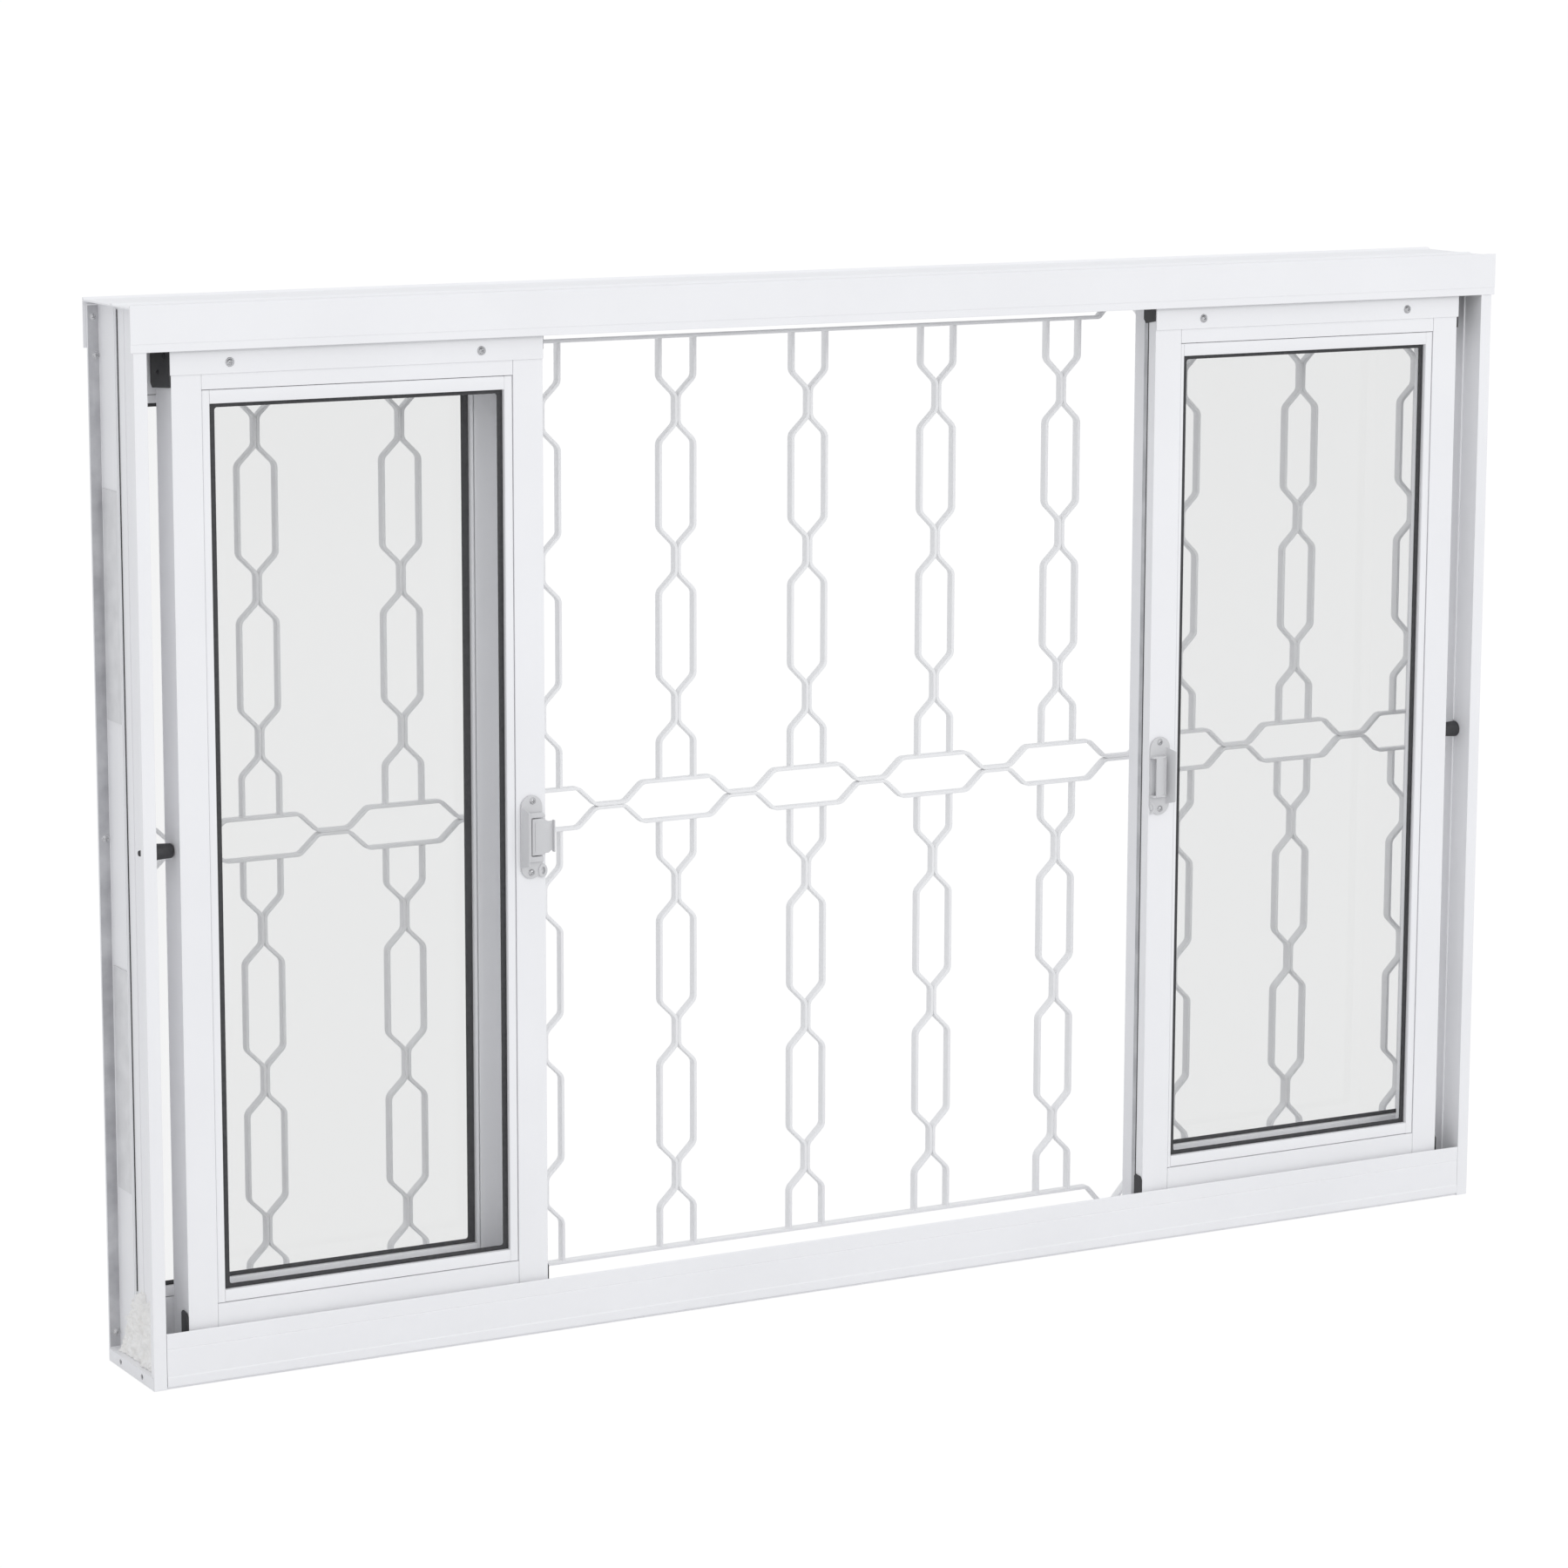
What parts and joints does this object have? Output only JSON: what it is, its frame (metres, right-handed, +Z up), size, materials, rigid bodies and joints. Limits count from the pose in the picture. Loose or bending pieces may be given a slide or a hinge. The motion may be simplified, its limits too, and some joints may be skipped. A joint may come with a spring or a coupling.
{
  "type": "sliding window with security grille",
  "caption": "White sliding window in an aluminium frame: two glazed leaves slide over two fixed ones, with a chain-pattern security grille fixed behind them.",
  "frame": {"origin": "centre of the base, on the plane that the sill stands on", "axes": "+X along the width, -Y towards the room, +Y towards the grille and outdoors, +Z up"},
  "size_m": [1.5, 0.124, 1],
  "materials": {
    "frame_paint": "white powder coat over extruded aluminium",
    "leaf_paint": "white powder coat over extruded aluminium",
    "grille_paint": "white powder coat over bent flat bar",
    "latch_paint": "pale grey enamel on die-cast metal",
    "pane_glass": "clear float glass",
    "black_rubber": "matt black extruded rubber",
    "black_plastic": "matt black moulded plastic",
    "roller_nylon": "off-white nylon",
    "bare_aluminium": "mill finish aluminium"
  },
  "bodies": {
    "frame": {"head": "frame_paint", "sill": "frame_paint", "left_jamb": "frame_paint", "right_jamb": "frame_paint", "left_bumper": "black_rubber", "left_fixed_inner_stile": "leaf_paint", "left_fixed_outer_stile": "leaf_paint", "left_fixed_top_rail": "leaf_paint", "left_fixed_bottom_rail": "leaf_paint", "left_fixed_glazing_bead": "leaf_paint", "left_fixed_glass": "pane_glass", "left_fixed_glass_gasket": "black_rubber", "right_bumper": "black_rubber", "right_fixed_inner_stile": "leaf_paint", "right_fixed_outer_stile": "leaf_paint", "right_fixed_top_rail": "leaf_paint", "right_fixed_bottom_rail": "leaf_paint", "right_fixed_glazing_bead": "leaf_paint", "right_fixed_glass": "pane_glass", "right_fixed_glass_gasket": "black_rubber", "upper_fixing_plate": "bare_aluminium", "lower_fixing_plate": "bare_aluminium", "grille_upper_left": "grille_paint", "grille_upper_centre": "grille_paint", "grille_upper_right": "grille_paint", "grille_lower_left": "grille_paint", "grille_lower_centre": "grille_paint", "grille_lower_right": "grille_paint", "grille_middle_chain": "grille_paint"},
    "left_sash": {"left_meeting_stile": "leaf_paint", "left_outer_stile": "leaf_paint", "left_top_rail": "leaf_paint", "left_bottom_rail": "leaf_paint", "left_top_cover": "leaf_paint", "left_glazing_bead": "leaf_paint", "left_glass": "pane_glass", "left_glass_gasket": "black_rubber", "left_inner_guide": "black_plastic", "left_outer_guide": "black_plastic", "left_inner_carriage": "black_plastic", "left_outer_carriage": "black_plastic", "latch_body": "latch_paint"},
    "right_sash": {"right_meeting_stile": "leaf_paint", "right_outer_stile": "leaf_paint", "right_top_rail": "leaf_paint", "right_bottom_rail": "leaf_paint", "right_top_cover": "leaf_paint", "right_glazing_bead": "leaf_paint", "right_glass": "pane_glass", "right_glass_gasket": "black_rubber", "right_inner_guide": "black_plastic", "right_outer_guide": "black_plastic", "right_inner_carriage": "black_plastic", "right_outer_carriage": "black_plastic", "latch_keeper": "latch_paint"},
    "left_inner_roller": {"left_inner_roller": "roller_nylon"},
    "left_outer_roller": {"left_outer_roller": "roller_nylon"},
    "right_inner_roller": {"right_inner_roller": "roller_nylon"},
    "right_outer_roller": {"right_outer_roller": "roller_nylon"},
    "latch_tongue": {"latch_tongue": "latch_paint"}
  },
  "joints": [
    {"name": "left_sash_slide", "type": "slide", "parent": "frame", "child": "left_sash", "axis": [1, 0, 0], "range_m": [0, 0.338]},
    {"name": "left_inner_roller_spin", "type": "hinge", "parent": "left_sash", "child": "left_inner_roller", "pos_m": [-0.388, -0.0365, 0.0324], "axis": [0, 1, 0], "range_deg": [0, 2430]},
    {"name": "left_outer_roller_spin", "type": "hinge", "parent": "left_sash", "child": "left_outer_roller", "pos_m": [-0.662, -0.0365, 0.0324], "axis": [0, 1, 0], "range_deg": [0, 2430]},
    {"name": "right_sash_slide", "type": "slide", "parent": "frame", "child": "right_sash", "axis": [-1, 0, 0], "range_m": [0, 0.338]},
    {"name": "right_inner_roller_spin", "type": "hinge", "parent": "right_sash", "child": "right_inner_roller", "pos_m": [0.388, -0.0365, 0.0324], "axis": [0, -1, 0], "range_deg": [0, 2430]},
    {"name": "right_outer_roller_spin", "type": "hinge", "parent": "right_sash", "child": "right_outer_roller", "pos_m": [0.662, -0.0365, 0.0324], "axis": [0, -1, 0], "range_deg": [0, 2430]},
    {"name": "latch_tongue_swing", "type": "hinge", "parent": "left_sash", "child": "latch_tongue", "pos_m": [-0.357, -0.0514, 0.485], "axis": [0, 0, 1], "range_deg": [0, 6], "stiffness_Nm_per_rad": 0.05}
  ],
  "couplings": [
    {"joint": "left_inner_roller_spin", "follows": "left_sash_slide", "rad_per_m": 125},
    {"joint": "left_outer_roller_spin", "follows": "left_sash_slide", "rad_per_m": 125},
    {"joint": "right_inner_roller_spin", "follows": "right_sash_slide", "rad_per_m": 125},
    {"joint": "right_outer_roller_spin", "follows": "right_sash_slide", "rad_per_m": 125}
  ]
}
